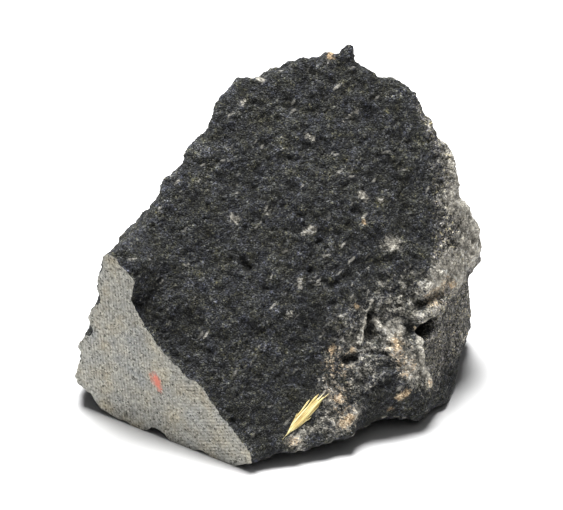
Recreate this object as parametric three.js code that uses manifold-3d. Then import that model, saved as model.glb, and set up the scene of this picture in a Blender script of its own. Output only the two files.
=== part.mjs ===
// A hand specimen of basalt, about 74 mm wide: one broken block with a leaning fracture face in front,
// a flat diamond-sawn end at its left, a weathered shoulder over a spalled side at its right, and a
// flat foot to stand on. A chip of straw is caught in the grain low on the front face.
//
// Millimetres, +X to the right, +Y to the back, +Z up, origin under the middle of the block.
// The block is described by one function that is negative inside the stone: flat fracture facets,
// ledges where a flake has sprung off, hollows, and the relief of the broken grain. A net of nearly
// even triangles is drawn where that function is zero, and two flat cuts finish it.

import * as THREE from "three";
import { ImprovedNoise } from "three/addons/math/ImprovedNoise.js";
import { mergeVertices } from "three/addons/utils/BufferGeometryUtils.js";
import Module from "manifold-3d";

const wasm = await Module();
wasm.setup();

const { max, min, sin, cos, abs, hypot, floor } = Math;
const { clamp, degToRad, lerp, smoothstep } = THREE.MathUtils;
const point = (x, y, z) => new THREE.Vector3(x, y, z);

// ---------------------------------------------------------------------------------------------
// Driving dimensions. Places are measured from the front corner, where the sawn end meets the
// front face at the foot.

const MESH_STEP = 1.98; // spacing of the net of triangles
const FOOT_LEVEL = 0; // height of the flat foot
const SAW_BEARING = -34.5; // compass bearing that the sawn end faces, 0 being straight ahead
const SAW_PLACE = point(0, -0.3, 1.4);

const FACET_WEAR = 1.6; // how wide the arris between two facets is rounded
const LEDGE_WEAR = 0.5; // the same for the arrises of a ledge
const HOLLOW_WEAR = 0.6; // for the rim of a hollow
const LIMB_WEAR = 1.4; // and for the block's outline
const LIMB_ALLOWANCE = 0.35; // what that rounding would take off the outline

const FINE_RELIEF = 0.5; // strength of the relief on the front face
const COARSE_RELIEF = 1.4; // strength on the flanks and the back
const SCALLOP_SIZE = 11;

const STRAW_FOOT = point(7.3, 1.2, 5); // the straw chip's pointed end, on the front face
const STRAW_HEAD = point(14.3, 7.5, 10.3); // its frayed end
const STRAW_THICKNESS = 0.45;
const CLEARANCE = 0.35; // between the chip and the stone

// Direction that a face looks in: bearing 0 is forward (-Y), 90 is to the right (+X), and rise is
// the angle above the horizon.
function facing(bearing, rise) {
  const b = degToRad(bearing);
  const r = degToRad(rise);
  return point(sin(b) * cos(r), -cos(b) * cos(r), sin(r));
}

// A flat face through a place. Its distanceToPoint is negative on the stone's side.
const face = (bearing, rise, x, y, z) =>
  new THREE.Plane().setFromNormalAndCoplanarPoint(facing(bearing, rise), point(x, y, z));

// ---------------------------------------------------------------------------------------------
// Fracture facets that bound the block.

const FACETS = [
  face(15, 35.5, 1.2, -1.2, 3.9), // the broad front face
  face(6, 40.5, 14, 34, 46), // its upper part, leaning back a little more
  face(50, 20, 35.6, 27, 29.8), // worn edge of the right shoulder
  face(104, 24, 40.5, 38, 39), // right flank, above
  face(118, 2, 47, 32, 20), // right flank, below
  face(54, -25, 34.2, 12.4, 9.9), // lower right, turning under
  face(-115, 23, -25.2, 18.8, 34.5), // left flank, above
  face(-108, 12, -32, 22, 4.5), // left flank, below
  face(-152, 8, -16, 46, 24), // back, left half
  face(172, 9, 14, 57, 34), // back, right half
  face(158, 48, 19.4, 47.5, 61), // behind the crest
  face(35, -73, 18.3, 1.5, 3.2), // underside, front
  face(-85, -62, -27, 17.5, 2), // underside, left tip
  face(75, -68, 36, 18, 3), // underside, right
  face(180, -76, 5, 56, 3), // underside, back
  face(-120, -70, -24, 40, 3), // underside, left
];

// Ledges: where a flake sprang off, the stone outside all of its planes is missing.
const LEDGES = [
  [face(21, -15, 26.9, 9.5, 9), face(60, 12, 20.2, 6.9, 8)], // flake under the lower front edge
  // spall under the right shoulder: its floor, its roof below the lip, and the ridge that ends it
  [face(57, 3, 38.2, 24.8, 5), face(63, -37, 35.8, 21, 21.4), face(75, 22, 32.6, 14, 13)],
  [face(168, 14, 10, 53, 43.3), face(120, 66, 12, 54, 37)], // step across the back
  [face(142, 6, 33, 48, 24), face(110, -40, 38, 44, 27)], // flake off the back right corner
  [face(-133, 16, -22, 39, 20), face(-80, 60, -26, 34, 22)], // step low on the left flank
  [face(-120, 38, -21, 29, 43), face(-165, 10, -10, 41, 44)], // flake high on the left flank
];

// Hollows: a ball taken out of the surface, at a place and with a radius.
const HOLLOWS = [
  [point(32.8, 17.1, 17.7), 1.8], // vesicle under the lip
  [point(25.2, 9.2, 23.4), 9], // shallow bowl beside the crust
  [point(19.8, 7.6, 18.2), 6], // bowl low on the front face
  [point(14.9, 18.1, 36), 7], // bowl in the middle
  [point(-10.5, -11.4, 35), 27], // broad dish along the sawn end
];

// ---------------------------------------------------------------------------------------------
// The limb: the block's outline, drawn on the plane through AIM for an eye in front of the block
// and above it. Each pair is millimetres across and up from the middle, going round clockwise.

const EYE_RISE = 30;
const EYE_DISTANCE = 480;
const AIM = point(7.2, 27, 27.2);

const LIMB = [
  // crest with its two small horns
  [1.3, 34.7], [5.6, 35.4], [7.1, 35.2], [8.4, 36.7], [10.4, 36.5], [12.4, 37.5], [12.9, 36.7],
  // right edge, down in steps to the shoulder
  [14.1, 34], [17.2, 32.1], [21.3, 31], [22.3, 30.3], [23.8, 27.9], [25.2, 25.3], [26.4, 24.3],
  [27.5, 20.8], [29.4, 19.6], [30.5, 18.1], [31.2, 14.4], [32.1, 10.3], [33.5, 8.9], [34.4, 6.2],
  [35.5, 4.3], [35.6, 0], [34.8, -1.2],
  // spalled side under the shoulder
  [32.7, -4.1], [33, -6.4], [33.2, -10.5], [32.7, -15.3], [31.6, -16.9], [31.8, -18.5],
  [31, -23.3], [30.5, -25.3], [28, -28.1], [26.2, -29],
  // foot
  [22.3, -29.7], [17.9, -30.1], [15.9, -30.9], [14, -32.4], [12.4, -33.7], [9, -34.9],
  [5.8, -35.3], [0.8, -35.1], [-0.6, -35.4], [-3.8, -36.8], [-8.8, -37.1],
  // sawn end
  [-12.2, -35.6], [-19, -32.7], [-20.9, -31], [-23.9, -31.3], [-30.9, -27.2], [-34.1, -24],
  [-36.9, -21.4], [-35.5, -19.1], [-34.9, -14.9], [-33.4, -13.2], [-33.3, -9.7], [-32.1, -8],
  [-32.3, -4.3], [-31.2, -0.4],
  // left edge, up to the crest
  [-28.6, 2.3], [-25.5, 6.5], [-21.9, 10.9], [-21.5, 12.8], [-20.7, 14.4], [-19.1, 15.4],
  [-13.4, 23.1], [-12, 25], [-12.3, 26.2], [-10.2, 29.1], [-7.4, 30.9], [-3.8, 31.9], [-1.6, 33.3],
];

const sight = facing(0, EYE_RISE).negate();
const sightUp = point(0, sin(degToRad(EYE_RISE)), cos(degToRad(EYE_RISE)));
const eye = AIM.clone().addScaledVector(sight, -EYE_DISTANCE);

// How far a place lies outside the limb, as seen from the eye.
function outsideLimb(place) {
  const fromEye = place.clone().sub(eye);
  const scale = EYE_DISTANCE / fromEye.dot(sight);
  const across = fromEye.x * scale;
  const up = fromEye.dot(sightUp) * scale;
  for (let i = 0; i < LIMB.length; i++) {
    const [ax, ay] = LIMB[i];
    const [bx, by] = LIMB[(i + 1) % LIMB.length];
    const pastA = ax * up - ay * across;
    const beforeB = bx * up - by * across;
    if (pastA <= 0 && beforeB > 0) {
      const reach = (ax * by - ay * bx) / (beforeB - pastA);
      return hypot(across, up) * (1 + reach);
    }
  }
  return -1;
}

// ---------------------------------------------------------------------------------------------
// Relief of the broken surface.

const perlin = new ImprovedNoise();

// Height, wavelength and seed of each layer of swells.
const SWELLS = [
  [0.9, 17, 3.1],
  [0.7, 8, 8.4],
  [0.25, 4.2, 5.9],
];

function swell(place, wavelength, seed) {
  const { x, y, z } = place;
  return perlin.noise(x / wavelength + seed, y / wavelength + 1.7 * seed, z / wavelength - seed);
}

// A repeatable number from 0 to 1 for a cell of the lattice.
function chance(i, j, k, salt) {
  const s = sin(i * 127.1 + j * 311.7 + k * 74.7 + salt * 53.3) * 43758.5453;
  return s - floor(s);
}

// Shallow conchoidal scallops that meet in sharp arrises: 0 on an arris, 1 deep in a scallop.
function scallop(place, size) {
  const cell = place.clone().divideScalar(size);
  const base = cell.clone().floor();
  let nearest = 9;
  for (let i = -1; i <= 1; i++)
    for (let j = -1; j <= 1; j++)
      for (let k = -1; k <= 1; k++) {
        const [u, v, w] = [base.x + i, base.y + j, base.z + k];
        const heart = point(u + chance(u, v, w, 1), v + chance(u, v, w, 2), w + chance(u, v, w, 3));
        nearest = min(nearest, heart.distanceToSquared(cell));
      }
  return max(0, 1 - nearest);
}

// How far the broken surface lies in from its flat facet.
function relief(place) {
  let depth = scallop(place, SCALLOP_SIZE) - 0.4;
  for (const [height, wavelength, seed] of SWELLS) depth += height * swell(place, wavelength, seed);
  return depth;
}

// ---------------------------------------------------------------------------------------------
// The stone as one function: negative inside, positive outside.

// The larger of two distances, rounded where they meet so that an arris is slightly worn.
function worn(a, b, width) {
  const closeness = max(width - abs(a - b), 0);
  return max(a, b) + (closeness * closeness) / (4 * width);
}

function outsideStone(place) {
  const depth = -FACETS[0].distanceToPoint(place);
  const limb = outsideLimb(place);

  // The front face is smooth beside the flanks and the back, and so is every stretch of the outline.
  const coarse = min(smoothstep(depth, 1, 7), smoothstep(-limb, 0, 5));
  const rough = relief(place);

  let outside = -50;
  for (const facet of FACETS) outside = worn(outside, facet.distanceToPoint(place), FACET_WEAR);
  for (const planes of LEDGES) {
    const flake = min(...planes.map((plane) => plane.distanceToPoint(place)));
    outside = worn(outside, flake, LEDGE_WEAR);
  }
  outside += lerp(FINE_RELIEF, COARSE_RELIEF, coarse) * rough;
  for (const [heart, radius] of HOLLOWS)
    outside = worn(outside, radius - heart.distanceTo(place), HOLLOW_WEAR);

  // The upper edges are sharp, so the stone draws in again behind them.
  const drawIn = 0.35 * smoothstep(place.z, 28, 38) * max(0, depth - 1);
  const ragged = 1.2 * coarse * rough - LIMB_ALLOWANCE;
  return worn(outside, limb + drawIn + ragged, LIMB_WEAR);
}

// ---------------------------------------------------------------------------------------------
// A net of quads, one vertex in each cell that the surface crosses, closed and evenly spaced.

// Corners of the lattice. Its start is chosen so that no cell is crossed twice.
const LOW = point(-38, -9, -10.7);
const HIGH = point(50, 72, 64);

// Moves a place near the surface onto it, down the slope of the function.
function settled(place, outside) {
  const probe = 0.05;
  const stride = 0.5;
  for (let step = 0; step < 3; step++) {
    const f = outside(place);
    const slope = point(
      outside(place.clone().add(point(probe, 0, 0))) - f,
      outside(place.clone().add(point(0, probe, 0))) - f,
      outside(place.clone().add(point(0, 0, probe))) - f,
    ).divideScalar(probe);
    const steepness = max(slope.lengthSq(), 0.25);
    place.addScaledVector(slope, clamp(-f / steepness, -stride, stride));
  }
  return place;
}

// Moves every vertex towards the middle of its neighbours, then back onto the surface.
function spread(vertices, quads, outside) {
  const sum = vertices.map(() => point(0, 0, 0));
  const count = vertices.map(() => 0);
  for (const quad of quads)
    for (let side = 0; side < 4; side++) {
      const [a, b] = [quad[side], quad[(side + 1) % 4]];
      sum[a].add(vertices[b]);
      count[a]++;
    }
  vertices.forEach((vertex, n) => {
    vertex.lerp(sum[n].divideScalar(count[n]), 0.6);
    settled(vertex, outside);
  });
}

function netOf(outside) {
  const size = HIGH.clone().sub(LOW).divideScalar(MESH_STEP).ceil();
  const [nx, ny, nz] = size.toArray().map((n) => n + 1);
  const at = (i, j, k) => point(i, j, k).multiplyScalar(MESH_STEP).add(LOW);
  const index = (i, j, k) => i + nx * (j + ny * k);
  const value = new Float64Array(nx * ny * nz);
  for (let k = 0; k < nz; k++)
    for (let j = 0; j < ny; j++)
      for (let i = 0; i < nx; i++) value[index(i, j, k)] = outside(at(i, j, k));

  // One vertex for each crossed cell, at the mean of its crossed edges.
  const vertexOf = new Map();
  const vertices = [];
  const corners = [0, 1, 2, 3, 4, 5, 6, 7].map((c) => [c & 1, (c >> 1) & 1, (c >> 2) & 1]);
  for (let k = 0; k < nz - 1; k++)
    for (let j = 0; j < ny - 1; j++)
      for (let i = 0; i < nx - 1; i++) {
        const mean = point(0, 0, 0);
        let crossings = 0;
        for (let a = 0; a < 8; a++)
          for (const bit of [1, 2, 4]) {
            if (a & bit) continue;
            const [ca, cb] = [corners[a], corners[a | bit]];
            const fa = value[index(i + ca[0], j + ca[1], k + ca[2])];
            const fb = value[index(i + cb[0], j + cb[1], k + cb[2])];
            if (fa < 0 === fb < 0) continue;
            const pa = at(i + ca[0], j + ca[1], k + ca[2]);
            const pb = at(i + cb[0], j + cb[1], k + cb[2]);
            mean.add(pa.lerp(pb, fa / (fa - fb)));
            crossings++;
          }
        if (!crossings) continue;
        vertexOf.set(index(i, j, k), vertices.length);
        vertices.push(mean.divideScalar(crossings));
      }

  // One quad round each crossed lattice edge.
  const quads = [];
  const around = [
    [[1, 0, 0], [0, 1, 0], [0, 0, 1]],
    [[0, 1, 0], [0, 0, 1], [1, 0, 0]],
    [[0, 0, 1], [1, 0, 0], [0, 1, 0]],
  ];
  for (let k = 1; k < nz - 1; k++)
    for (let j = 1; j < ny - 1; j++)
      for (let i = 1; i < nx - 1; i++)
        for (const [along, u, v] of around) {
          const here = value[index(i, j, k)] < 0;
          const there = value[index(i + along[0], j + along[1], k + along[2])] < 0;
          if (here === there) continue;
          const cell = (su, sv) =>
            vertexOf.get(
              index(i - su * u[0] - sv * v[0], j - su * u[1] - sv * v[1], k - su * u[2] - sv * v[2]),
            );
          const quad = [cell(1, 1), cell(0, 1), cell(0, 0), cell(1, 0)];
          quads.push(here ? quad : quad.reverse());
        }

  // The vertices are spread evenly over the surface, then each quad is split on its short diagonal.
  for (let round = 0; round < 5; round++) spread(vertices, quads, outside);
  const triangles = [];
  for (const [a, b, c, d] of quads) {
    const acrossAC = vertices[a].distanceTo(vertices[c]);
    const acrossBD = vertices[b].distanceTo(vertices[d]);
    if (acrossAC < acrossBD) triangles.push(a, b, c, a, c, d);
    else triangles.push(a, b, d, b, c, d);
  }
  const net = new THREE.BufferGeometry().setFromPoints(vertices);
  net.setIndex(triangles);
  return net;
}

// ---------------------------------------------------------------------------------------------
// Flat cuts, by boolean.

function solidOf(geometry) {
  const bare = new THREE.BufferGeometry();
  bare.setAttribute("position", geometry.getAttribute("position"));
  bare.setIndex(geometry.index);
  const merged = mergeVertices(bare, 1e-4);
  return new wasm.Manifold(
    new wasm.Mesh({
      numProp: 3,
      vertProperties: merged.attributes.position.array,
      triVerts: new Uint32Array(merged.index.array),
    }),
  );
}

function geometryOf(solid) {
  const mesh = solid.getMesh();
  const geometry = new THREE.BufferGeometry();
  geometry.setAttribute("position", new THREE.BufferAttribute(mesh.vertProperties, 3));
  geometry.setIndex(new THREE.BufferAttribute(mesh.triVerts, 1));
  geometry.computeVertexNormals();
  return geometry;
}

// A block of waste whose near side is the plane of the cut.
function waste(normal, place) {
  const side = 200;
  const block = new THREE.BoxGeometry(side, side, side);
  const middle = place.clone().addScaledVector(normal, side / 2);
  const turn = new THREE.Quaternion().setFromUnitVectors(point(0, 0, 1), normal);
  block.applyMatrix4(new THREE.Matrix4().compose(middle, turn, point(1, 1, 1)));
  return solidOf(block);
}

function basaltRock() {
  const sawnEnd = waste(facing(SAW_BEARING, 0), SAW_PLACE);
  const underFoot = waste(point(0, 0, -1), point(0, 0, FOOT_LEVEL));
  const stone = solidOf(netOf(outsideStone)).subtract(sawnEnd).subtract(underFoot);
  const material = new THREE.MeshStandardMaterial({ color: 0x2c2d2e, roughness: 0.85 });
  const mesh = new THREE.Mesh(geometryOf(stone), material);
  mesh.name = "basalt_rock";
  return mesh;
}

// ---------------------------------------------------------------------------------------------
// Chip of straw: a flat splinter, pointed at its foot and frayed into three tines at its head.

function strawChip() {
  const along = STRAW_HEAD.clone().sub(STRAW_FOOT);
  const length = along.length();
  const outline = new THREE.Shape()
    .moveTo(0, 0)
    .quadraticCurveTo(length * 0.3, 0.35, length * 0.66, 0.95)
    .lineTo(length * 0.8, 0.8)
    .lineTo(length, 1.05)
    .lineTo(length * 0.84, 0.35)
    .lineTo(length * 0.95, 0)
    .lineTo(length * 0.82, -0.25)
    .lineTo(length * 0.91, -0.8)
    .lineTo(length * 0.6, -0.85)
    .quadraticCurveTo(length * 0.3, -0.7, 0, 0);
  const settings = { depth: STRAW_THICKNESS, bevelEnabled: false, curveSegments: 5 };
  const material = new THREE.MeshStandardMaterial({ color: 0xd9c57a, roughness: 0.7 });
  const mesh = new THREE.Mesh(new THREE.ExtrudeGeometry(outline, settings), material);
  mesh.name = "straw_chip";

  // It lies along the front face, its underside clear of the grain.
  along.normalize();
  const across = FACETS[0].normal.clone().cross(along).normalize();
  const outwards = along.clone().cross(across);
  mesh.quaternion.setFromRotationMatrix(new THREE.Matrix4().makeBasis(along, across, outwards));
  mesh.position.copy(STRAW_FOOT).addScaledVector(outwards, CLEARANCE);
  return mesh;
}

// ---------------------------------------------------------------------------------------------

const specimen = new THREE.Group();
specimen.add(basaltRock(), strawChip());

// The origin goes under the middle of the block.
const extent = new THREE.Box3().setFromObject(specimen);
const middle = extent.getCenter(point(0, 0, 0));
specimen.position.set(-middle.x, -middle.y, -extent.min.z);

export default specimen;
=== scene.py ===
import math

import bpy
import numpy as np
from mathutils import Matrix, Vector


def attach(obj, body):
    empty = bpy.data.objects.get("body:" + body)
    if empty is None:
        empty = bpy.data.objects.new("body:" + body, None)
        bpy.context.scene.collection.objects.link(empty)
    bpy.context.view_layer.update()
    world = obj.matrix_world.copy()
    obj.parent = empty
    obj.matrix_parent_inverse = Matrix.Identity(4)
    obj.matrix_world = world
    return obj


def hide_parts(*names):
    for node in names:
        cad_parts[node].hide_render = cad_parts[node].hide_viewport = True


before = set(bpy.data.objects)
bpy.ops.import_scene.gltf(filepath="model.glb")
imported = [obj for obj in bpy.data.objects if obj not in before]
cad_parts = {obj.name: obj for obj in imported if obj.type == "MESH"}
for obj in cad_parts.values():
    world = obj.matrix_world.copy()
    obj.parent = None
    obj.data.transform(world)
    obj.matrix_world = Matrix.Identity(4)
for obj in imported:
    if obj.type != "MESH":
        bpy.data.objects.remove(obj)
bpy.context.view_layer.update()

# ---------------------------------------------------------------------------------------------
# The block: one piece of dark, fine-grained basalt, struck off a larger block with a hammer, so
# that most of it is rough fracture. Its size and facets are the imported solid's; a fine even net
# of faces is drawn over them here, to carry the roughness of the break.

MM = 0.001  # a millimetre, in metres
NET = 0.34 * MM  # spacing of the fine net
NET_CALM = 12  # how often the net is smoothed, which takes its small steps away
MOST_FACES = 192000  # triangles left on the block when it is done


def hold(piece):
    """Leaves this piece alone selected and active."""
    bpy.ops.object.select_all(action="DESELECT")
    piece.select_set(True)
    bpy.context.view_layer.objects.active = piece


def treat(piece, kind, **settings):
    """Adds one modifier to the active piece, with its settings, and applies it."""
    modifier = piece.modifiers.new(kind.title(), kind)
    for name, value in settings.items():
        setattr(modifier, name, value)
    bpy.ops.object.modifier_apply(modifier=modifier.name)


block = bpy.data.objects.new("basalt_block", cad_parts["basalt_rock"].data.copy())
bpy.context.collection.objects.link(block)
hold(block)
bpy.ops.object.mode_set(mode="EDIT")
bpy.ops.mesh.select_all(action="SELECT")
bpy.ops.mesh.remove_doubles(threshold=0.001 * MM)
bpy.ops.object.mode_set(mode="OBJECT")
treat(block, "REMESH", mode="VOXEL", voxel_size=NET, use_smooth_shade=True)
treat(block, "SMOOTH", factor=0.5, iterations=NET_CALM)


def read(piece, what):
    """The piece's points ("co") or the way its surface faces ("normal"), as rows of x, y and z."""
    rows = np.empty(len(piece.data.vertices) * 3)
    piece.data.vertices.foreach_get(what, rows)
    return rows.reshape(-1, 3)


def put(piece, spots):
    """Moves the piece's points to these places, given in millimetres."""
    piece.data.vertices.foreach_set("co", (spots * MM).ravel())
    piece.data.update()


def ease(low, high, value):
    """0 below low, 1 above high, and a smooth change between them."""
    t = np.clip((value - low) / (high - low), 0, 1)
    return t * t * (3 - 2 * t)


def near(spots, reach, *path):
    """1 on a path of places over the stone, falling smoothly to 0 at this reach from it."""
    apart = np.full(len(spots), np.inf)
    path = [np.array(place, float) for place in path]
    for start, end in zip(path, path[1:] or path):
        run = end - start
        along = np.clip((spots - start) @ run / max(run @ run, 1e-9), 0, 1)
        apart = np.minimum(apart, np.linalg.norm(spots - start - np.outer(along, run), axis=1))
    return 1 - ease(0, reach, apart)


# The stone runs on past the saw cut here, so that its broken faces meet the cut in a sharp arris.
# From here on, places and lengths that are given as bare numbers are in millimetres.
SAW_FACING = np.array([-0.5664, -0.8241, 0.0])  # the way the sawn end faces
SAW_PLACE = np.array([-6.711, -30.162, 1.4])  # a place on the cut
SPARE = 2.0  # how far the stone is drawn out past the cut
SPARE_FROM = -1.5  # where that starts, measured from the cut
CROWN = 1.7  # lifts the falloff about a drawn part, so that the middle of the part moves as one
# Parts of the stone that stand out further, each how far, a reach, a direction and a path.
DRAWN = [
    (4.6, 7.5, (0.0, -0.87, 0.5), [(-28.6, -11.6, 32.0), (-27.2, -13.0, 30.2)]),  # top of the cut
    (1.5, 2.2, (0.0, 0.0, 1.0), [(12.6, 14.8, 58.0)]),  # tip of the horn
    (1.0, 6.0, (-0.6, 0.4, 0.69),
     [(-24.0, -1.5, 36.0), (-19.5, -1.0, 40.5), (-12.6, 3.6, 46.9), (-8.5, 9.0, 53.0)]),
    (0.6, 4.0, (-0.3, 0.5, 0.8), [(-6.0, 10.0, 54.0), (2.0, 13.2, 56.5), (7.0, 14.7, 57.1)]),
]

spots = read(block, "co") / MM
from_cut = (spots - SAW_PLACE) @ SAW_FACING
spots += np.outer(SPARE * ease(SPARE_FROM, 0.0, from_cut), SAW_FACING)
for far, reach, direction, path in DRAWN:
    spots += np.outer(far * np.minimum(CROWN * near(spots, reach, *path), 1.0), direction)

# The lower right corner comes down almost to the table, while the foot stays where it is.
CORNER = [(26.5, -14.2, 4.9), (28.8, -11.2, 4.5), (30.6, -8.4, 4.8)]
CORNER_REACH = 9.0
CORNER_DROP = 4.0
CORNER_WAY = (0.0, -0.3, -1.0)
FOOT_HELD = 5.0  # the height up to which less and less of the drop is felt

drop = CORNER_DROP * near(spots, CORNER_REACH, *CORNER) * ease(0.0, FOOT_HELD, spots[:, 2])
spots += np.outer(drop, CORNER_WAY)
put(block, spots)

# Forms left by the way the block broke, each a height, a reach and a path. A height below 0 is a
# hollow. The lowest right part of the face has spalled, and has a lip, a crest and deep sockets.
CREST = [(25.1, -13.2, 15.8), (25.1, -14.2, 14.8), (25.7, -15.5, 11.8), (26.6, -15.9, 8.3)]
LIP = [(29.0, -7.5, 19.6), (27.3, -9.4, 19.5), (25.3, -11.2, 19.2)]
SEAM = [(16.4, -11.4, 23.0), (15.5, -12.7, 20.5), (14.8, -14.1, 18.5), (14.5, -15.6, 16.9)]
FLAKE_EDGE = [(16.8, -12.7, 19.7), (18.9, -13.6, 17.7), (20.3, -14.6, 16.3), (21.4, -15.4, 15.1)]
UNDER_EDGE = [(26.6, -15.9, 8.3), (22.8, -17.4, 10.4), (20.1, -17.9, 12.1), (16.4, -19.4, 11.0),
              (13.9, -21.6, 8.7), (13.4, -23.3, 6.2)]
FORMS = [
    (0.5, 1.2, CREST),
    (0.8, 2.2, LIP),
    (-2.3, 1.6, [(25.3, -12.0, 16.4), (27.0, -10.0, 17.7)]),  # socket under the lip
    (-0.8, 2.2, [(23.2, -12.6, 18.4), (22.6, -14.6, 14.6)]),
    (0.35, 0.7, SEAM),
    (0.45, 0.9, FLAKE_EDGE),
    (-1.2, 1.5, [(16.3, -12.6, 20.2), (16.3, -14.4, 17.4)]),
    (-0.5, 0.9, [(15.8, -16.4, 15.1), (19.1, -16.2, 14.9)]),
    (0.3, 1.3, UNDER_EDGE),
    (-0.8, 1.3, [(11.7, -17.8, 14.5), (13.0, -17.4, 14.7)]),
    (0.9, 2.4, [(25.4, -8.2, 23.2)]),
    (-0.7, 1.5, [(28.4, -7.6, 21.6), (24.9, -10.2, 20.6)]),
    (-0.9, 1.2, [(-6.3, -10.6, 30.2), (-5.5, -11.2, 29.4)]),
    (-0.8, 1.2, [(13.3, -2.5, 35.9), (14.2, -2.6, 35.9)]),
    (-0.8, 1.1, [(6.9, -6.2, 31.8)]),
    (-0.35, 1.2, [(9.6, -10.9, 25.6), (12.6, -9.1, 27.0)]),
    (-0.7, 1.0, [(5.7, -10.0, 27.9)]),
    (-0.4, 1.6, [(17.6, -7.3, 28.2), (20.4, -6.6, 28.6)]),
    (-1.0, 2.0, [(-32.2, -12.6, 24.3)]),  # notches along the edges of the sawn end
    (-0.9, 1.6, [(-34.0, -11.6, 17.4)]),
    (-1.2, 3.2, [(-22.3, -20.6, 0.2), (-20.6, -18.6, 0.2)]),
    (-0.6, 2.2, [(-13.8, -26.0, 0.2), (-13.0, -24.4, 0.2)]),
    (-0.5, 1.8, [(-27.8, -16.4, 0.2), (-27.0, -15.2, 0.2)]),
]
facing = read(block, "normal")
for height, reach, path in FORMS:
    spots += facing * (height * near(spots, reach, *path))[:, None]
put(block, spots)


# The break itself: lumps a few millimetres across, small steps where the crack jumped from grain
# to grain, and a sugary roughness at the size of the grains. The foot stays flat, the lip and the
# stone under the straw stay calmer, and the flanks are lumpier than the front.
def weigh(piece, name, weights):
    """Gives the piece a vertex group with these weights."""
    group = piece.vertex_groups.new(name=name)
    for i, weight in enumerate(weights):
        group.add((i,), float(weight), "REPLACE")
    return group.name


def roughen(piece, name, size, height, group, middle=0.5, **settings):
    """Raises and lowers the surface by a cloudy pattern of this size and height."""
    field = bpy.data.textures.new(name, "CLOUDS")
    field.noise_scale = size * MM
    for setting, value in settings.items():
        setattr(field, setting, value)
    treat(piece, "DISPLACE", texture=field, strength=height * MM, mid_level=middle,
          texture_coords="LOCAL", vertex_group=group)


STRAW_FOOT = np.array([0.59, -28.66, 5.0])  # the lower end of the straw
STRAW_HEAD = np.array([7.6, -22.36, 10.3])  # and its upper end
STRAW_BED = 3.0  # how far from the straw the stone is calmer
STRAW_CALM = 0.8  # share of the roughness that is taken away there
LIP_BED = 2.2
LIP_CALM = 0.7
FOOT_RIM = (0.1, 2.0)  # heights between which the roughness comes in
FRONT_FACING = np.array([0.21, -0.79, 0.58])
FRONT_CALM = 0.75
ARRIS_RIM = (-3.5, -0.5)  # distances from the cut between which the crumbs come in

spots = read(block, "co") / MM
facing = read(block, "normal")
from_cut = (spots - SAW_PLACE) @ SAW_FACING
free = 1 - STRAW_CALM * near(spots, STRAW_BED, STRAW_FOOT, STRAW_HEAD)
free *= ease(*FOOT_RIM, spots[:, 2])
free *= 1 - LIP_CALM * near(spots, LIP_BED, *LIP)
fronts = ease(0.1, 0.7, facing @ FRONT_FACING)
broken = weigh(block, "broken", free)
flanks = weigh(block, "flanks", free * (1 - FRONT_CALM * fronts))
arris = weigh(block, "arris", free * ease(*ARRIS_RIM, from_cut))

roughen(block, "flank lumps", 5.5, 1.5, flanks, noise_depth=3, noise_type="HARD_NOISE", middle=0.35)
roughen(block, "hummocks", 3.2, 0.9, broken, noise_depth=2)
roughen(block, "steps", 2.0, 0.5, broken, noise_depth=2, noise_type="HARD_NOISE", middle=0.35)
roughen(block, "crumbs", 1.9, 1.0, arris, noise_depth=2)
roughen(block, "grains", 0.7, 0.45, broken, noise_depth=1)

# Nothing reaches below the table.
spots = read(block, "co") / MM
spots[:, 2] = np.maximum(spots[:, 2], 0.0)
put(block, spots)

# The sawn end: a diamond blade took the left end off square to the table. The cut is flat and
# shows the stone's own pale grey, and it meets the broken faces in a crumbled arris.
SAWN_AWAY = 130.0  # each side of the block of space that the saw takes away
SAW_TURN = math.atan2(SAW_FACING[1], SAW_FACING[0])

bpy.ops.object.select_all(action="DESELECT")
bpy.ops.mesh.primitive_cube_add(size=1)
cut = bpy.context.active_object
cut.scale = (SAWN_AWAY * MM, SAWN_AWAY * MM, SAWN_AWAY * MM)
cut.rotation_euler = (0, 0, SAW_TURN)
cut.location = Vector((SAW_PLACE + SAW_FACING * SAWN_AWAY / 2) * MM)
hold(cut)
bpy.ops.object.transform_apply(location=True, rotation=True, scale=True)
hold(block)
treat(block, "BOOLEAN", operation="DIFFERENCE", solver="EXACT", object=cut)
bpy.data.objects.remove(cut)
treat(block, "TRIANGULATE")
# Triangles that only hang on the rim of the cut by one side go, which leaves the block closed.
bpy.ops.object.mode_set(mode="EDIT")
bpy.ops.mesh.select_mode(type="EDGE")
bpy.ops.mesh.select_all(action="DESELECT")
bpy.ops.mesh.select_non_manifold()
bpy.ops.mesh.select_mode(type="FACE")
bpy.ops.mesh.delete(type="FACE")
bpy.ops.object.mode_set(mode="OBJECT")
treat(block, "DECIMATE", ratio=min(1.0, MOST_FACES / len(block.data.polygons)))

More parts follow.
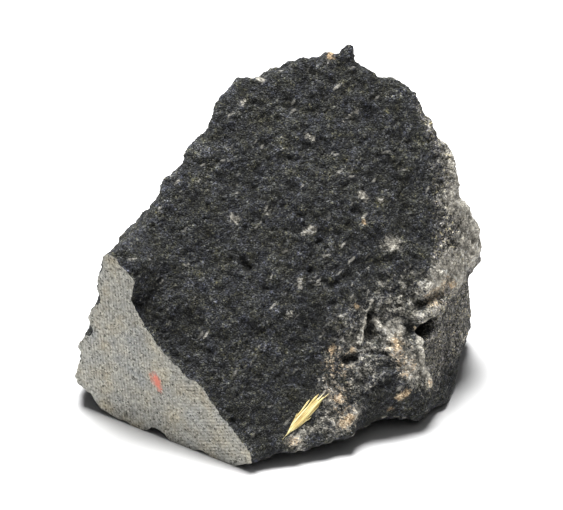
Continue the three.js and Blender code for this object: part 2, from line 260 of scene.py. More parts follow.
# What time has left on the stone: a pale earthy crust caught on the spalled corner and on the
# shoulder, rusty spots, and a grey-brown skin where the right side has been open to the weather.
# Each daub has a strength, a reach and a path.
CRUST = [
    (1.0, 1.8, CREST),
    (0.4, 1.6, LIP),
    (0.9, 0.7, SEAM),
    (0.95, 1.8, FLAKE_EDGE),
    (0.85, 4.5, [(20.7, -13.2, 17.9), (20.9, -15.0, 15.4)]),
    (0.75, 4.5, [(22.8, -15.6, 13.6), (23.8, -16.6, 11.4)]),
    (1.0, 2.2, [(22.6, -17.0, 12.0), (24.0, -17.2, 10.9)]),
    (0.95, 4.0, [(27.5, -7.2, 23.4), (29.3, -5.2, 25.0), (30.9, -3.1, 25.9)]),
    (0.95, 4.5, [(32.0, -3.5, 22.4), (32.8, -1.8, 23.9)]),
    (1.0, 6.5, [(34.4, 1.2, 25.6), (35.5, 4.3, 27.9), (34.4, 4.8, 31.1), (32.3, 4.6, 34.6)]),
    (0.55, 6.0, [(33.0, 4.0, 34.0), (30.5, 8.0, 40.0)]),
    (0.95, 2.2, [(19.6, -5.0, 30.7), (20.6, -4.6, 30.6)]),
    (0.75, 2.4, [(11.1, -24.9, 5.8), (12.5, -23.7, 6.7), (13.6, -22.6, 6.8)]),
    (0.48, 4.5, [(9.5, -21.2, 11.0), (8.8, -25.0, 6.6)]),
    (0.65, 1.5, [(1.8, -28.4, 4.4), (3.2, -27.7, 5.0), (3.7, -28.1, 2.6)]),
    (0.6, 1.8, [(3.2, -27.7, 5.0), (7.0, -26.0, 6.0)]),
    (0.36, 5.5, [(11.5, -17.0, 16.0), (14.0, -19.0, 12.0)]),
    (0.38, 9.0, [(14.0, -16.0, 17.0), (24.0, -10.0, 22.0)]),
    (0.95, 0.9, [(18.2, -9.1, 25.0)]),
    (0.95, 0.9, [(23.6, -6.8, 25.8)]),
    (0.9, 0.9, [(1.6, -15.4, 22.3), (2.2, -15.2, 22.5)]),
    (0.8, 1.2, [(-8.2, -5.6, 36.4), (-7.6, -5.8, 36.0)]),
    (0.95, 1.1, [(14.6, -0.2, 38.1), (15.4, -0.5, 37.6)]),
    (0.9, 0.9, [(18.1, -0.4, 36.8)]),
    (0.9, 0.8, [(5.0, 5.2, 46.9), (6.0, 5.0, 46.5)]),
    (0.9, 0.8, [(11.6, 7.6, 48.6), (13.9, 9.0, 49.8)]),
    (0.9, 0.9, [(-6.5, 7.6, 52.3)]),
    (0.9, 1.3, [(-3.2, 11.2, 55.0)]),
    (0.8, 1.0, [(4.6, -5.8, 33.5), (6.0, -5.2, 33.9)]),
    (0.8, 0.8, [(3.7, -12.1, 26.0), (3.9, -11.4, 27.0)]),
]
RUST = [
    (1.0, 1.5, [(31.1, -4.7, 22.1)]),
    (0.9, 1.1, [(23.9, -12.3, 17.8)]),
    (1.0, 1.6, [(20.6, -14.4, 16.3), (20.9, -15.0, 15.6)]),
    (1.0, 1.4, [(26.3, -15.9, 8.6)]),
    (1.0, 1.4, [(9.4, -17.4, 16.6)]),
    (0.9, 1.0, [(13.0, -16.8, 15.8)]),
    (0.8, 0.9, [(13.8, -12.6, 22.3)]),
    (1.0, 1.5, [(10.4, -22.2, 9.4)]),
    (1.0, 1.3, [(11.1, -24.9, 5.8), (12.5, -23.9, 6.5)]),
    (1.0, 1.1, [(21.2, -19.3, 7.8), (22.6, -18.7, 8.5)]),
    (0.8, 1.0, [(19.8, -19.2, 5.2)]),
    (0.9, 0.8, [(15.0, -3.4, 34.4)]),
    (0.6, 1.2, [(9.3, 15.0, 57.6)]),
    (0.35, 1.4, [(1.8, -28.4, 4.2), (3.0, -27.9, 4.6)]),
    (0.2, 4.0, [(10.5, -18.5, 14.5), (10.0, -21.0, 10.5), (11.5, -23.5, 7.0)]),
    (0.32, 3.2, [(20.9, -15.0, 15.6), (22.6, -16.5, 12.5)]),
    (0.35, 2.5, [(27.0, -8.5, 21.5), (30.0, -5.5, 23.0)]),
]


def paint(piece, name, amounts):
    """Keeps an amount from 0 to 1 at each point, which the finish reads by this name."""
    layer = piece.data.attributes.new(name, "FLOAT", "POINT")
    layer.data.foreach_set("value", np.clip(amounts, 0, 1).astype(np.float32))


def daubed(spots, daubs):
    """The strongest of a list of daubs at each point."""
    amount = np.zeros(len(spots))
    for strength, reach, path in daubs:
        amount = np.maximum(amount, strength * near(spots, reach, *path))
    return amount


# How deep each point lies, and the way the stone lies about it, are told from calmed copies of
# the stone, in which each point has moved again and again towards the points beside it.
CLOSE_TURNS = 8
WIDE_TURNS = 40
CLOSE_DEPTH = 0.25  # makes a full hollow between grains
WIDE_DEPTH = 0.8  # makes a full hollow a few millimetres across

spots = read(block, "co") / MM
facing = read(block, "normal")
ends = np.empty(len(block.data.edges) * 2, np.int64)
block.data.edges.foreach_get("vertices", ends)
ends = ends.reshape(-1, 2)
here = np.concatenate([ends[:, 0], ends[:, 1]])
beside = np.concatenate([ends[:, 1], ends[:, 0]])


def gather(rows, into, count):
    """Adds up rows of x, y and z that belong to the same point."""
    return np.stack([np.bincount(into, rows[:, axis], count) for axis in range(3)], axis=1)


joined = np.bincount(here, minlength=len(spots))[:, None]
calm = spots.copy()
for turn in range(WIDE_TURNS):
    calm = 0.5 * calm + 0.5 * gather(calm[beside], here, len(spots)) / joined
    if turn == CLOSE_TURNS - 1:
        sunk = ((calm - spots) * facing).sum(1)
sunk_wide = ((calm - spots) * facing).sum(1)
depth = sunk / CLOSE_DEPTH + sunk_wide / WIDE_DEPTH

corners = np.empty(len(block.data.polygons) * 3, np.int64)
block.data.polygons.foreach_get("vertices", corners)
corners = corners.reshape(-1, 3)
first, second, third = (calm[corners[:, i]] for i in range(3))
slope = np.cross(second - first, third - first)
lie = gather(np.concatenate([slope, slope, slope]), corners.T.ravel(), len(spots))
lie /= np.linalg.norm(lie, axis=1)[:, None] + 1e-12

# The skin covers the right side, less towards the table, and thinly the back.
RIGHT_LIE = np.array([0.93, -0.33, 0.15])
RIGHT_FROM = (22, 28)  # how far to the right the skin comes in
SKIN_FADE = (1.5, 12.0)  # heights between which it comes in
BACK_LIE = np.array([0.1, 0.97, 0.2])
BACK_SKIN = 0.45

weathered = ease(0.45, 0.85, lie @ RIGHT_LIE) * ease(*RIGHT_FROM, spots[:, 0])
weathered *= ease(*SKIN_FADE, spots[:, 2])
behind = ease(0.2, 0.7, lie @ BACK_LIE)
paint(block, "crust", daubed(spots, CRUST))
paint(block, "rust", daubed(spots, RUST))
paint(block, "weather", np.maximum(weathered, BACK_SKIN * behind))
# Depth feeds the painted shade in hollows; the edges get wear, painted highlight and more crust.
paint(block, "hollow_shade", depth)
paint(block, "edge", -depth)


def shade(code):
    """A colour given as an sRGB hex code, turned to the linear values that shaders use."""
    parts = [int(code[i:i + 2], 16) / 255 for i in (1, 3, 5)]
    return [c / 12.92 if c <= 0.04045 else ((c + 0.055) / 1.055) ** 2.4 for c in parts] + [1.0]


def lay(tree, kind, sockets=None, stops=(), **settings):
    """Adds one shader node, sets it, and feeds its sockets with values or other nodes' outputs.

    Colour stops are given as the first one, the last one, and then those between.
    """
    made = tree.nodes.new("ShaderNode" + kind)
    for name, value in settings.items():
        setattr(made, name, value)
    for socket, value in (sockets or {}).items():
        if isinstance(value, bpy.types.NodeSocket):
            tree.links.new(value, made.inputs[socket])
        else:
            made.inputs[socket].default_value = value
    for i, (place, colour) in enumerate(stops):
        stop = made.color_ramp.elements[i] if i < 2 else made.color_ramp.elements.new(place)
        stop.position = place
        stop.color = shade(colour)
    return made


def finish(name):
    """A new material, its node tree, its shader, and places on the piece in millimetres."""
    material = bpy.data.materials.new(name)
    material.use_nodes = True
    tree = material.node_tree
    shader = tree.nodes["Principled BSDF"]
    places = lay(tree, "TexCoord").outputs["Object"]
    millimetres = lay(tree, "Mapping", {"Vector": places, "Scale": (1000, 1000, 1000)})
    return material, tree, shader, millimetres.outputs[0]


# Fresh basalt, broken: a felt of feldspar laths and dark pyroxene grains 0.2 to 0.5 mm across,
# charcoal as a whole but salt and pepper close to. It is dull, and single crystal faces glint.
# The scale of a pattern is one over its real size.
broken_basalt, tree, shader, at = finish("broken basalt")
CLOUD = 5.0  # size of the lighter and darker parts
MOTTLE = 1.9
HUE = 2.2  # size of the bluish and yellowish parts
FINE_GRAIN = 0.25
COARSE_GRAIN = 0.5
COARSE_SHOWN = 0.45  # how strongly the coarse grains show
LATH = 0.55  # spacing of the laths
LATH_LENGTH = 3.2  # times as long as wide
LATH_TURNS = [(0.0, -0.49, 0.65), (0.0, -0.1, 0.2), (0.3, -0.95, 0.5)]  # the ways they lie
LATH_PICK = 0.987  # of all the laths, only those picked above this share are pale
LATH_SHOWN = 0.62

tone = lay(tree, "TexNoise", {"Vector": at, "Scale": 1 / CLOUD, "Detail": 4.0, "Roughness": 0.65})
ground = lay(tree, "ValToRGB", {0: tone.outputs[0]},
             [(0.3, "#353738"), (0.74, "#757674"), (0.5, "#434546"), (0.63, "#535555")]).outputs[0]
mottle = lay(tree, "TexNoise", {"Vector": at, "Scale": 1 / MOTTLE, "Detail": 3.0, "W": 7.0},
             noise_dimensions="4D")
mottle = lay(tree, "ValToRGB", {0: mottle.outputs[0]}, [(0.32, "#9c9c9c"), (0.68, "#dcdcdc")])
hue = lay(tree, "TexNoise", {"Vector": at, "Scale": 1 / HUE, "Detail": 4.0, "Roughness": 0.6,
                             "W": 3.0}, noise_dimensions="4D")
tint = lay(tree, "ValToRGB", {0: hue.outputs[0]},
           [(0.33, "#b5b7c9"), (0.67, "#c6c1a6"), (0.46, "#bababe"), (0.55, "#bcbbb3")])
for layer in (mottle, tint):
    ground = lay(tree, "Mix", {0: 1.0, 6: ground, 7: layer.outputs[0]},
                 data_type="RGBA", blend_type="OVERLAY").outputs[2]

# Where the stone has lain open to the weather its skin is grey-brown, in patches.
PATCH = 1.3
skin_tone = lay(tree, "TexNoise", {"Vector": at, "Scale": 1 / PATCH, "Detail": 5.0,
                                   "Roughness": 0.7})
skin = lay(tree, "ValToRGB", {0: skin_tone.outputs[0]},
           [(0.32, "#6b6863"), (0.68, "#d0ccc3"), (0.5, "#a29f98")])
weather = lay(tree, "Attribute", attribute_name="weather")
skin_here = lay(tree, "Math", {0: skin_tone.outputs[0], 1: 1.2, 2: -0.6}, operation="MULTIPLY_ADD")
skin_here = lay(tree, "Math", {0: weather.outputs["Fac"], 1: skin_here.outputs[0]}, operation="ADD")
skin_here = lay(tree, "MapRange", {0: skin_here.outputs[0], 1: 0.3, 2: 0.8, 4: 0.85})
ground = lay(tree, "Mix", {0: skin_here.outputs[0], 6: ground, 7: skin.outputs[0]},
             data_type="RGBA").outputs[2]

# Each grain has its own grey, from pyroxene black to feldspar white, and its own slight tint.
for size, shown, seed in ((FINE_GRAIN, 1.0, 0.0), (COARSE_GRAIN, COARSE_SHOWN, 4.0)):
    grains = lay(tree, "TexVoronoi", {"Vector": at, "Scale": 1 / size, "W": seed},
                 voronoi_dimensions="4D")
    pick = lay(tree, "SeparateColor", {0: grains.outputs["Color"]})
    salt = lay(tree, "ValToRGB", {0: pick.outputs[0]},
               [(0.0, "#202020"), (1.0, "#ffffff"), (0.35, "#5c5d5e"), (0.66, "#929394"),
                (0.82, "#b6b6b3"), (0.92, "#d4d0c7")])
    cast = lay(tree, "ValToRGB", {0: pick.outputs[2]},
               [(0.1, "#b5b5c2"), (0.95, "#c3bea7"), (0.4, "#bababe"), (0.7, "#bcbcb6")])
    for layer in (salt, cast):
        ground = lay(tree, "Mix", {0: shown, 6: ground, 7: layer.outputs[0]},
                     data_type="RGBA", blend_type="OVERLAY").outputs[2]
    if size == FINE_GRAIN:
        fine_grains, fine_pick = grains, pick

# The pale laths lie in three ways, and are bent a little.
BEND = 0.6  # size of the bends
wander = lay(tree, "TexNoise", {"Vector": at, "Scale": 1 / BEND, "Detail": 2.0})
bent = lay(tree, "VectorMath", {0: wander.outputs[1], 1: (0.5, 0.5, 0.5)}, operation="SUBTRACT")
bent = lay(tree, "VectorMath", {0: bent.outputs[0], 1: (0.5, 0.5, 0.5), 2: at},
           operation="MULTIPLY_ADD")
flecks = None
for i, turn in enumerate(LATH_TURNS):
    turned = lay(tree, "Mapping", {"Vector": bent.outputs[0], "Rotation": turn,
                                   "Scale": (LATH_LENGTH, 1.0, 1.0)}, vector_type="TEXTURE")
    laths = lay(tree, "TexVoronoi", {"Vector": turned.outputs[0], "Scale": 1 / LATH, "W": 5.0 * i},
                voronoi_dimensions="4D")
    chance = lay(tree, "SeparateColor", {0: laths.outputs["Color"]})
    chosen = lay(tree, "MapRange", {0: chance.outputs[1], 1: LATH_PICK, 2: 1.0, 4: LATH_SHOWN})
    inside = lay(tree, "MapRange", {0: laths.outputs["Distance"], 1: 0.65, 2: 0.3})
    fleck = lay(tree, "Math", {0: chosen.outputs[0], 1: inside.outputs[0]}, operation="MULTIPLY")
    flecks = fleck if flecks is None else lay(
        tree, "Math", {0: flecks.outputs[0], 1: fleck.outputs[0]}, operation="MAXIMUM")
ground = lay(tree, "Mix", {0: flecks.outputs[0], 6: ground, 7: shade("#c9c5bb")},
             data_type="RGBA").outputs[2]

# The crust is an earthy dust that has caught on single grains: close together and pale where it
# is thick, scattered round about. Rust lies in the same way.
FILM = 1.1
DUST_GRAIN = 0.26
film = lay(tree, "TexNoise", {"Vector": at, "Scale": 1 / FILM, "Detail": 6.0, "Roughness": 0.75})
dust = lay(tree, "TexVoronoi", {"Vector": at, "Scale": 1 / DUST_GRAIN})
dust_pick = lay(tree, "SeparateColor", {0: dust.outputs["Color"]})
edge = lay(tree, "Attribute", attribute_name="edge")


def coverage(name, thick, patchy):
    """How far each grain is covered by what was painted under this name.

    What is thick covers more, what is patchy follows the film more, and edges catch a little more.
    """
    painted = lay(tree, "Attribute", attribute_name=name)
    cover = lay(tree, "Math", {0: film.outputs[0], 1: patchy, 2: -0.5 * patchy - 0.25},
                operation="MULTIPLY_ADD")
    cover = lay(tree, "Math", {0: painted.outputs["Fac"], 1: thick, 2: cover.outputs[0]},
                operation="MULTIPLY_ADD")
    cover = lay(tree, "Math", {0: edge.outputs["Fac"], 1: 0.3, 2: cover.outputs[0]},
                operation="MULTIPLY_ADD")
    cover = lay(tree, "Math", {0: dust_pick.outputs[0], 1: -0.7, 2: cover.outputs[0]},
                operation="MULTIPLY_ADD")
    cover = lay(tree, "MapRange", {0: cover.outputs[0], 1: -0.25, 2: 0.5, 4: 0.85})
    kept = lay(tree, "MapRange", {0: painted.outputs["Fac"], 1: 0.0, 2: 0.12})
    return lay(tree, "Math", {0: cover.outputs[0], 1: kept.outputs[0]}, operation="MULTIPLY")


FILM_TONE = 0.9
film_tone = lay(tree, "TexNoise", {"Vector": at, "Scale": 1 / FILM_TONE, "Detail": 4.0,
                                   "Roughness": 0.8})
film_tone = lay(tree, "Math", {0: dust_pick.outputs[1], 1: 0.45, 2: film_tone.outputs[0]},
                operation="MULTIPLY_ADD")
earth = lay(tree, "ValToRGB", {0: film_tone.outputs[0]},
            [(0.4, "#68655e"), (1.0, "#d3cfc3"), (0.6, "#8a867c"), (0.8, "#a5a095")])
ochre = lay(tree, "ValToRGB", {0: film_tone.outputs[0]},
            [(0.4, "#786349"), (1.0, "#e6d6b8"), (0.72, "#b59a78")])
for cover, colour in ((coverage("crust", 1.35, 2.6), earth), (coverage("rust", 1.5, 2.6), ochre)):
    ground = lay(tree, "Mix", {0: cover.outputs[0], 6: ground, 7: colour.outputs[0]},
                 data_type="RGBA").outputs[2]

# Hair-thin pale veins run through the crusted part, and break off here and there.
WEB = 3.0  # spacing of the veins
web = lay(tree, "TexNoise", {"Vector": bent.outputs[0], "Scale": 1 / WEB, "Detail": 2.0, "W": 2.0},
          noise_dimensions="4D")
web = lay(tree, "Math", {0: web.outputs[0], 1: 0.5}, operation="SUBTRACT")
web = lay(tree, "Math", {0: web.outputs[0]}, operation="ABSOLUTE")
vein = lay(tree, "MapRange", {0: web.outputs[0], 1: 0.003, 2: 0.016, 3: 1.4, 4: 0.0})
crusted = lay(tree, "Attribute", attribute_name="crust")
vein = lay(tree, "Math", {0: vein.outputs[0], 1: crusted.outputs["Fac"]}, operation="MULTIPLY")
broken_vein = lay(tree, "MapRange", {0: film.outputs[0], 1: 0.4, 2: 0.6, 4: 0.8})
vein = lay(tree, "Math", {0: vein.outputs[0], 1: broken_vein.outputs[0]}, operation="MULTIPLY",
           use_clamp=True)
ground = lay(tree, "Mix", {0: vein.outputs[0], 6: ground, 7: shade("#c4c4c2")},
             data_type="RGBA").outputs[2]

# Painted shade darkens the hollows; edges are made paler, partly as wear and partly as painted
# highlight. The tones are what is left of the colour in the deepest hollow, and what it grows to
# on the sharpest edge.
HOLLOW_SHADE_TONE = 0.4
RUBBED_AND_LIT_TONE = 1.5
hollow_shade = lay(tree, "Attribute", attribute_name="hollow_shade")
# Painted shade: the deepest hollow keeps only this share of the colour.
painted_hollow_shade = lay(tree, "MapRange", {0: hollow_shade.outputs["Fac"], 3: 1.0, 4: HOLLOW_SHADE_TONE})
# Edges made paler: partly wear, partly painted highlight.
rubbed_and_lit = lay(tree, "MapRange", {0: edge.outputs["Fac"], 1: 0.1, 3: 1.0, 4: RUBBED_AND_LIT_TONE})
# The painted shade in hollows and the paler edges together multiply the colour.
wear_and_painted_light = lay(tree, "Math", {0: painted_hollow_shade.outputs[0], 1: rubbed_and_lit.outputs[0]}, operation="MULTIPLY")
ground = lay(tree, "Mix", {0: 1.0, 6: ground, 7: wear_and_painted_light.outputs[0]},
             data_type="RGBA", blend_type="MULTIPLY").outputs[2]
tree.links.new(ground, shader.inputs["Base Color"])

# One grain in four shows a crystal face that is smooth enough to glint.
glint = lay(tree, "MapRange", {0: fine_pick.outputs[1], 1: 0.75, 2: 1.0, 3: 0.9, 4: 0.35})
tree.links.new(glint.outputs[0], shader.inputs["Roughness"])
shader.inputs["Specular IOR Level"].default_value = 0.35

# Relief too fine for the net: lumps of a few grains, and each grain rounded.
LUMP = 0.9
LUMP_HEIGHT = 0.4
GRAIN_HEIGHT = 0.25
lumps = lay(tree, "TexNoise", {"Vector": at, "Scale": 1 / LUMP, "Detail": 3.0, "Roughness": 0.7})
coarse = lay(tree, "Bump", {"Strength": 0.6, "Distance": LUMP_HEIGHT * MM,
                            "Height": lumps.outputs[0]})
fine = lay(tree, "Bump", {"Strength": 1.0, "Distance": GRAIN_HEIGHT * MM,
                          "Height": fine_grains.outputs["Distance"], "Normal": coarse.outputs[0]},
           invert=True)
tree.links.new(fine.outputs[0], shader.inputs["Normal"])

# The same basalt, sawn: the cut grains and the rock flour left in the saw marks make it pale grey.
# The blade left fine straight lines in two directions. A red crayon stroke is the collector's.
sawn_basalt, tree, shader, at = finish("sawn basalt")
CUT_GRAIN = 0.32
STAIN = 5.0
SAW_LINES = 0.62  # spacing of the saw lines
WORN = 5.0  # size of the parts where one set of lines is worn off
WAVE = 0.314  # a wave pattern of scale 1 repeats after this
# The two sets of lines: how they are turned, how fast they come in to the right, and a seed.
SAWINGS = [(-0.36, 0.035, 0.0), (1.5, -0.035, 5.0)]
CUT_MIDDLE = -14.0  # the middle of the cut, along it from SAW_PLACE
# The crayon stroke and its faint second edge: a place on the cut, a size and a strength.
CRAYON = [((0.0, -17.7, 10.0), (1.0, 1.1, 2.6), 0.75), ((0.0, -18.9, 10.2), (1.0, 0.7, 2.0), 0.3)]
CRAYON_TURN = 0.38

# Places on the cut: out of it, along it to the right, and up.
across = lay(tree, "Mapping", {"Vector": at, "Location": tuple(SAW_PLACE),
                               "Rotation": (0, 0, SAW_TURN)}, vector_type="TEXTURE")
cells = lay(tree, "TexVoronoi", {"Vector": at, "Scale": 1 / CUT_GRAIN})
pick = lay(tree, "SeparateColor", {0: cells.outputs["Color"]})
ground = lay(tree, "ValToRGB", {0: pick.outputs[0]},
             [(0.0, "#55544e"), (1.0, "#d2d0c8"), (0.09, "#8a8880"), (0.3, "#a6a49d"),
              (0.7, "#b6b4ad")]).outputs[0]
blotch = lay(tree, "TexNoise", {"Vector": at, "Scale": 1 / STAIN, "Detail": 4.0, "Roughness": 0.6})
stain = lay(tree, "ValToRGB", {0: blotch.outputs[0]},
            [(0.3, "#a4a9af"), (0.7, "#bdb5a3"), (0.5, "#b3b3b0")])
ground = lay(tree, "Mix", {0: 0.8, 6: ground, 7: stain.outputs[0]},
             data_type="RGBA", blend_type="OVERLAY").outputs[2]

# One set of lines shows to the right, the other to the left, and both in patches between.
rightward = lay(tree, "SeparateXYZ", {0: across.outputs[0]}).outputs[1]
lines = None
for turn, slant, seed in SAWINGS:
    turned = lay(tree, "Mapping", {"Vector": across.outputs[0], "Rotation": (turn, 0, 0)})
    wave = lay(tree, "TexWave", {"Vector": turned.outputs[0], "Scale": WAVE / SAW_LINES,
                                 "Distortion": 1.2, "Detail": 3.0, "Detail Scale": 0.8},
               wave_type="BANDS", bands_direction="Z")
    patch = lay(tree, "TexNoise", {"Vector": across.outputs[0], "Scale": 1 / WORN, "W": seed},
                noise_dimensions="4D")
    patch = lay(tree, "Math", {0: rightward, 1: slant, 2: patch.outputs[0]},
                operation="MULTIPLY_ADD")
    middle = 0.5 + CUT_MIDDLE * slant
    shown = lay(tree, "MapRange", {0: patch.outputs[0], 1: middle - 0.15, 2: middle + 0.15})
    mark = lay(tree, "Math", {0: wave.outputs["Fac"], 1: shown.outputs[0]}, operation="MULTIPLY")
    lines = mark if lines is None else lay(
        tree, "Math", {0: lines.outputs[0], 1: mark.outputs[0]}, operation="ADD")
scored = lay(tree, "MapRange", {0: lines.outputs[0], 1: 0.0, 2: 1.0, 3: 1.05, 4: 0.8})
ground = lay(tree, "Mix", {0: 1.0, 6: ground, 7: scored.outputs[0]},
             data_type="RGBA", blend_type="MULTIPLY").outputs[2]

# The crayon's wax sits in crumbs on the highest grains.
WAX_CRUMB = 0.45
crumbly = lay(tree, "TexNoise", {"Vector": at, "Scale": 1 / WAX_CRUMB, "Detail": 3.0,
                                 "Roughness": 0.8})
for place, size, amount in CRAYON:
    crayon = lay(tree, "Mapping", {"Vector": across.outputs[0], "Location": place, "Scale": size,
                                   "Rotation": (CRAYON_TURN, 0, 0)}, vector_type="TEXTURE")
    stroke = lay(tree, "TexGradient", {"Vector": crayon.outputs[0]}, gradient_type="SPHERICAL")
    wax = lay(tree, "Math", {0: crumbly.outputs[0], 1: 3.2, 2: -1.9}, operation="MULTIPLY_ADD")
    wax = lay(tree, "Math", {0: stroke.outputs[1], 1: 2.0, 2: wax.outputs[0]},
              operation="MULTIPLY_ADD")
    kept = lay(tree, "MapRange", {0: stroke.outputs[1], 1: 0.0, 2: 0.1})
    wax = lay(tree, "MapRange", {0: wax.outputs[0], 1: 0.0, 2: 0.9, 4: amount})
    wax = lay(tree, "Math", {0: wax.outputs[0], 1: kept.outputs[0]}, operation="MULTIPLY")
    ground = lay(tree, "Mix", {0: wax.outputs[0], 6: ground, 7: shade("#f0806c")},
                 data_type="RGBA").outputs[2]
tree.links.new(ground, shader.inputs["Base Color"])
shader.inputs["Roughness"].default_value = 0.8
shader.inputs["Specular IOR Level"].default_value = 0.3

SCORE_DEPTH = 0.05
PORE_DEPTH = 0.08
scores = lay(tree, "Bump", {"Strength": 0.4, "Distance": SCORE_DEPTH * MM,
                            "Height": lines.outputs[0]}, invert=True)
pores = lay(tree, "Bump", {"Strength": 0.5, "Distance": PORE_DEPTH * MM,
                           "Height": cells.outputs["Distance"], "Normal": scores.outputs[0]})
tree.links.new(pores.outputs[0], shader.inputs["Normal"])

# The faces that lie in the cut and face its way are the sawn ones.
IN_CUT = -0.03  # how far inside the cut a sawn face may lie
CUT_LEVEL = 0.98  # how nearly it has to face the same way
block.data.materials.clear()
block.data.materials.append(broken_basalt)
block.data.materials.append(sawn_basalt)
middles = np.empty(len(block.data.polygons) * 3)
block.data.polygons.foreach_get("center", middles)
outward = np.empty(len(block.data.polygons) * 3)
block.data.polygons.foreach_get("normal", outward)
sawn = (middles.reshape(-1, 3) / MM - SAW_PLACE) @ SAW_FACING > IN_CUT
sawn &= outward.reshape(-1, 3) @ SAW_FACING > CUT_LEVEL
block.data.polygons.foreach_set("material_index", sawn.astype(np.int32))
hold(block)
bpy.ops.object.shade_smooth_by_angle(angle=math.radians(60))
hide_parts("basalt_rock")
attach(block, "root")

# ---------------------------------------------------------------------------------------------
# The straw: a split flake of dry stalk, 11 mm long, that has caught in the rough face. Its fibres
# run together to a point at the lower end and part at the upper one.

STRAW_OUT = np.array([0.22, -0.77, 0.59])  # the way the stone faces under the straw
STRAW_SUNK = 0.12  # how far the flake lies in the highest grains
FELT_ALONG = 12  # places along the flake where the stone is felt for
FELT_ACROSS = (-0.7, 0.0, 0.7)  # and across it
FELT_FROM = 4.0  # the height that this starts at
FIBRE_CUTS = 18
# Each fibre: where along the flake it starts and ends, its place across it, its width and its
# thickness, and how far its free end has sprung aside.
FIBRES = [
    (0.00, 0.95, 0.00, 0.62, 0.34, 0.00),
    (0.03, 1.00, 0.42, 0.50, 0.42, 0.06),
    (0.06, 0.97, -0.42, 0.44, 0.30, -0.10),
    (0.12, 0.80, -0.78, 0.34, 0.26, -0.30),
    (0.14, 0.88, 0.78, 0.30, 0.24, 0.02),
    (0.55, 1.10, 0.52, 0.14, 0.10, 0.22),
    (0.50, 1.03, 0.12, 0.20, 0.14, -0.05),
    (0.10, 0.50, -0.70, 0.16, 0.12, -0.45),
    (0.20, 0.60, 0.86, 0.14, 0.12, 0.30),
]

bpy.ops.object.select_all(action="DESELECT")
bpy.ops.mesh.primitive_cylinder_add(vertices=8, radius=0.5, depth=1, end_fill_type="TRIFAN")
fibre = bpy.context.active_object
bpy.ops.object.mode_set(mode="EDIT")
bpy.ops.mesh.select_all(action="DESELECT")
bpy.ops.object.mode_set(mode="OBJECT")
# The long edges are cut across, so that the fibre can bend.
heights = [v.co.z for v in fibre.data.vertices]
for e in fibre.data.edges:
    e.select = abs(heights[e.vertices[0]] - heights[e.vertices[1]]) > 0.9
bpy.context.tool_settings.mesh_select_mode = (False, True, False)
bpy.ops.object.mode_set(mode="EDIT")
bpy.ops.mesh.subdivide(number_cuts=FIBRE_CUTS)
bpy.ops.object.mode_set(mode="OBJECT")

# The flake's own directions: along it, across it to the right, and out of the stone.
along = STRAW_HEAD - STRAW_FOOT
length = np.linalg.norm(along)
along /= length
aside = np.cross(along, STRAW_OUT)
aside /= np.linalg.norm(aside)
out = np.cross(aside, along)

# The flake lies on the highest grains under it, which are felt for from above.
bpy.context.view_layer.update()
rise = []
for t in np.linspace(0.0, 1.0, FELT_ALONG):
    for w in FELT_ACROSS:
        over = (STRAW_FOOT + along * length * t + aside * w * ease(0.0, 0.5, t)
                + out * FELT_FROM)
        struck, place, _, _ = block.ray_cast(Vector(over * MM), Vector(-out))
        if struck:
            rise.append((t, (np.array(place) / MM - STRAW_FOOT) @ out))
rise = np.array(rise)
lean, seat = np.polyfit(rise[:, 0], rise[:, 1], 1)
seat += max(rise[:, 1] - (seat + lean * rise[:, 0])) - STRAW_SUNK

# Each fibre is a copy of the first one. It swells slowly from its foot and ends in a short point,
# it lies further aside towards its head, and a sprung end also stands out from the stone.
fibres = []
for start, end, across, width, thick, spring in FIBRES:
    strand = fibre.copy()
    strand.data = fibre.data.copy()
    bpy.context.collection.objects.link(strand)
    rows = read(strand, "co")
    t = rows[:, 2] + 0.5
    reach = start + (end - start) * t
    body = ease(0.0, 0.4, t) * ease(0.0, 0.1, 1 - t) + 0.04
    side = across * ease(0.0, 0.5, reach) + spring * ease(0.6, 1.0, t) + rows[:, 0] * width * body
    bow = seat + lean * reach + thick * body * (rows[:, 1] + 0.35) + abs(spring) * ease(0.7, 1.0, t)
    spots = (STRAW_FOOT + np.outer(reach * length, along) + np.outer(side, aside)
             + np.outer(bow, out))
    put(strand, spots)
    fibres.append(strand)
bpy.data.objects.remove(fibre)
bpy.ops.object.select_all(action="DESELECT")
for strand in fibres:
    strand.select_set(True)
straw = fibres[0]
bpy.context.view_layer.objects.active = straw
bpy.ops.object.join()
straw.name = "straw_flake"
bpy.ops.object.mode_set(mode="EDIT")
bpy.ops.mesh.select_all(action="SELECT")
bpy.ops.mesh.normals_make_consistent(inside=False)
bpy.ops.object.mode_set(mode="OBJECT")
treat(straw, "SUBSURF", levels=1, render_levels=1)
bpy.ops.object.shade_smooth()

# Dry stalk: long pale fibres with a faint waxy shine, more golden between them.
dry_straw, tree, shader, at = finish("dry straw")
STREAK = (4.0, 0.22, 0.22)  # length, width and thickness of a streak
STREAK_TURN = (0.0, -0.512, 0.733)  # lays it along the flake
RIB_HEIGHT = 0.05

turned = lay(tree, "Mapping", {"Vector": at, "Rotation": STREAK_TURN, "Scale": STREAK},
             vector_type="TEXTURE")
streak = lay(tree, "TexNoise", {"Vector": turned.outputs[0], "Scale": 1.0, "Detail": 3.0})
gold = lay(tree, "ValToRGB", {0: streak.outputs[0]},
           [(0.3, "#ae8c4c"), (0.7, "#f7efc8"), (0.5, "#e2cf8a")])
tree.links.new(gold.outputs[0], shader.inputs["Base Color"])
shader.inputs["Roughness"].default_value = 0.5
ribs = lay(tree, "Bump", {"Strength": 0.5, "Distance": RIB_HEIGHT * MM,
                          "Height": streak.outputs[0]})
tree.links.new(ribs.outputs[0], shader.inputs["Normal"])
straw.data.materials.append(dry_straw)
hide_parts("straw_chip")
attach(straw, "root")

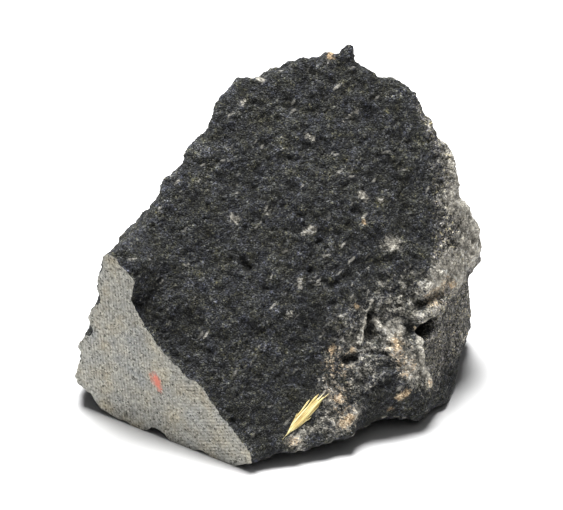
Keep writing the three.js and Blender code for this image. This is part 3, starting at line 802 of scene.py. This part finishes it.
# ---------------------------------------------------------------------------------------------
# The stage: the stone stands on a sheet of pale paper under a white tent, lit by one soft round
# light overhead and a little behind. The camera looks down at 30 degrees from in front. The sizes
# and places of the floor and the light are in metres.

FLOOR = 6.0
TENT_GLOW = 0.28
TENT_FROM = 0.42  # how far up the tent it starts to glow, with 1 straight overhead
LIGHT_SIZE = 0.3
LIGHT_POWER = 7.2  # watts
LIGHT_PLACE = (-0.035, 0.12, 0.5)
LIGHT_AIM = (0, 0, 0.03)

bpy.ops.object.select_all(action="DESELECT")
bpy.ops.mesh.primitive_plane_add(size=FLOOR)
floor = bpy.context.active_object
floor.name = "floor"
paper = bpy.data.materials.new("pale paper")
paper.use_nodes = True
shader = paper.node_tree.nodes["Principled BSDF"]
shader.inputs["Base Color"].default_value = (0.85, 0.85, 0.85, 1)
shader.inputs["Roughness"].default_value = 0.9
floor.data.materials.append(paper)

world = bpy.data.worlds.new("white tent")
bpy.context.scene.world = world
world.use_nodes = True
tree = world.node_tree
tent = tree.nodes["Background"]
up = lay(tree, "SeparateXYZ", {0: lay(tree, "TexCoord").outputs["Generated"]})
glow = lay(tree, "MapRange", {0: up.outputs[2], 1: TENT_FROM, 4: TENT_GLOW})
tree.links.new(glow.outputs[0], tent.inputs["Strength"])
tent.inputs["Color"].default_value = (1, 1, 1, 1)

light = bpy.data.lights.new("top softbox", "AREA")
light.shape = "DISK"
light.size = LIGHT_SIZE
light.energy = LIGHT_POWER
top = bpy.data.objects.new("top softbox", light)
top.location = LIGHT_PLACE
top.rotation_euler = (Vector(LIGHT_AIM) - top.location).to_track_quat("-Z", "Y").to_euler()
bpy.context.collection.objects.link(top)

CAMERA_PLACE = (0.489, -418.55, 267.2)  # in millimetres
LOOKS_DOWN = 30  # degrees

view = bpy.data.cameras.new("camera")
view.lens = 172.5
view.sensor_width = 36
camera = bpy.data.objects.new("camera", view)
camera.location = Vector(CAMERA_PLACE) * MM
camera.rotation_euler = (math.radians(90 - LOOKS_DOWN), 0, 0)
bpy.context.collection.objects.link(camera)
bpy.context.scene.camera = camera
bpy.context.scene.view_settings.view_transform = "Standard"
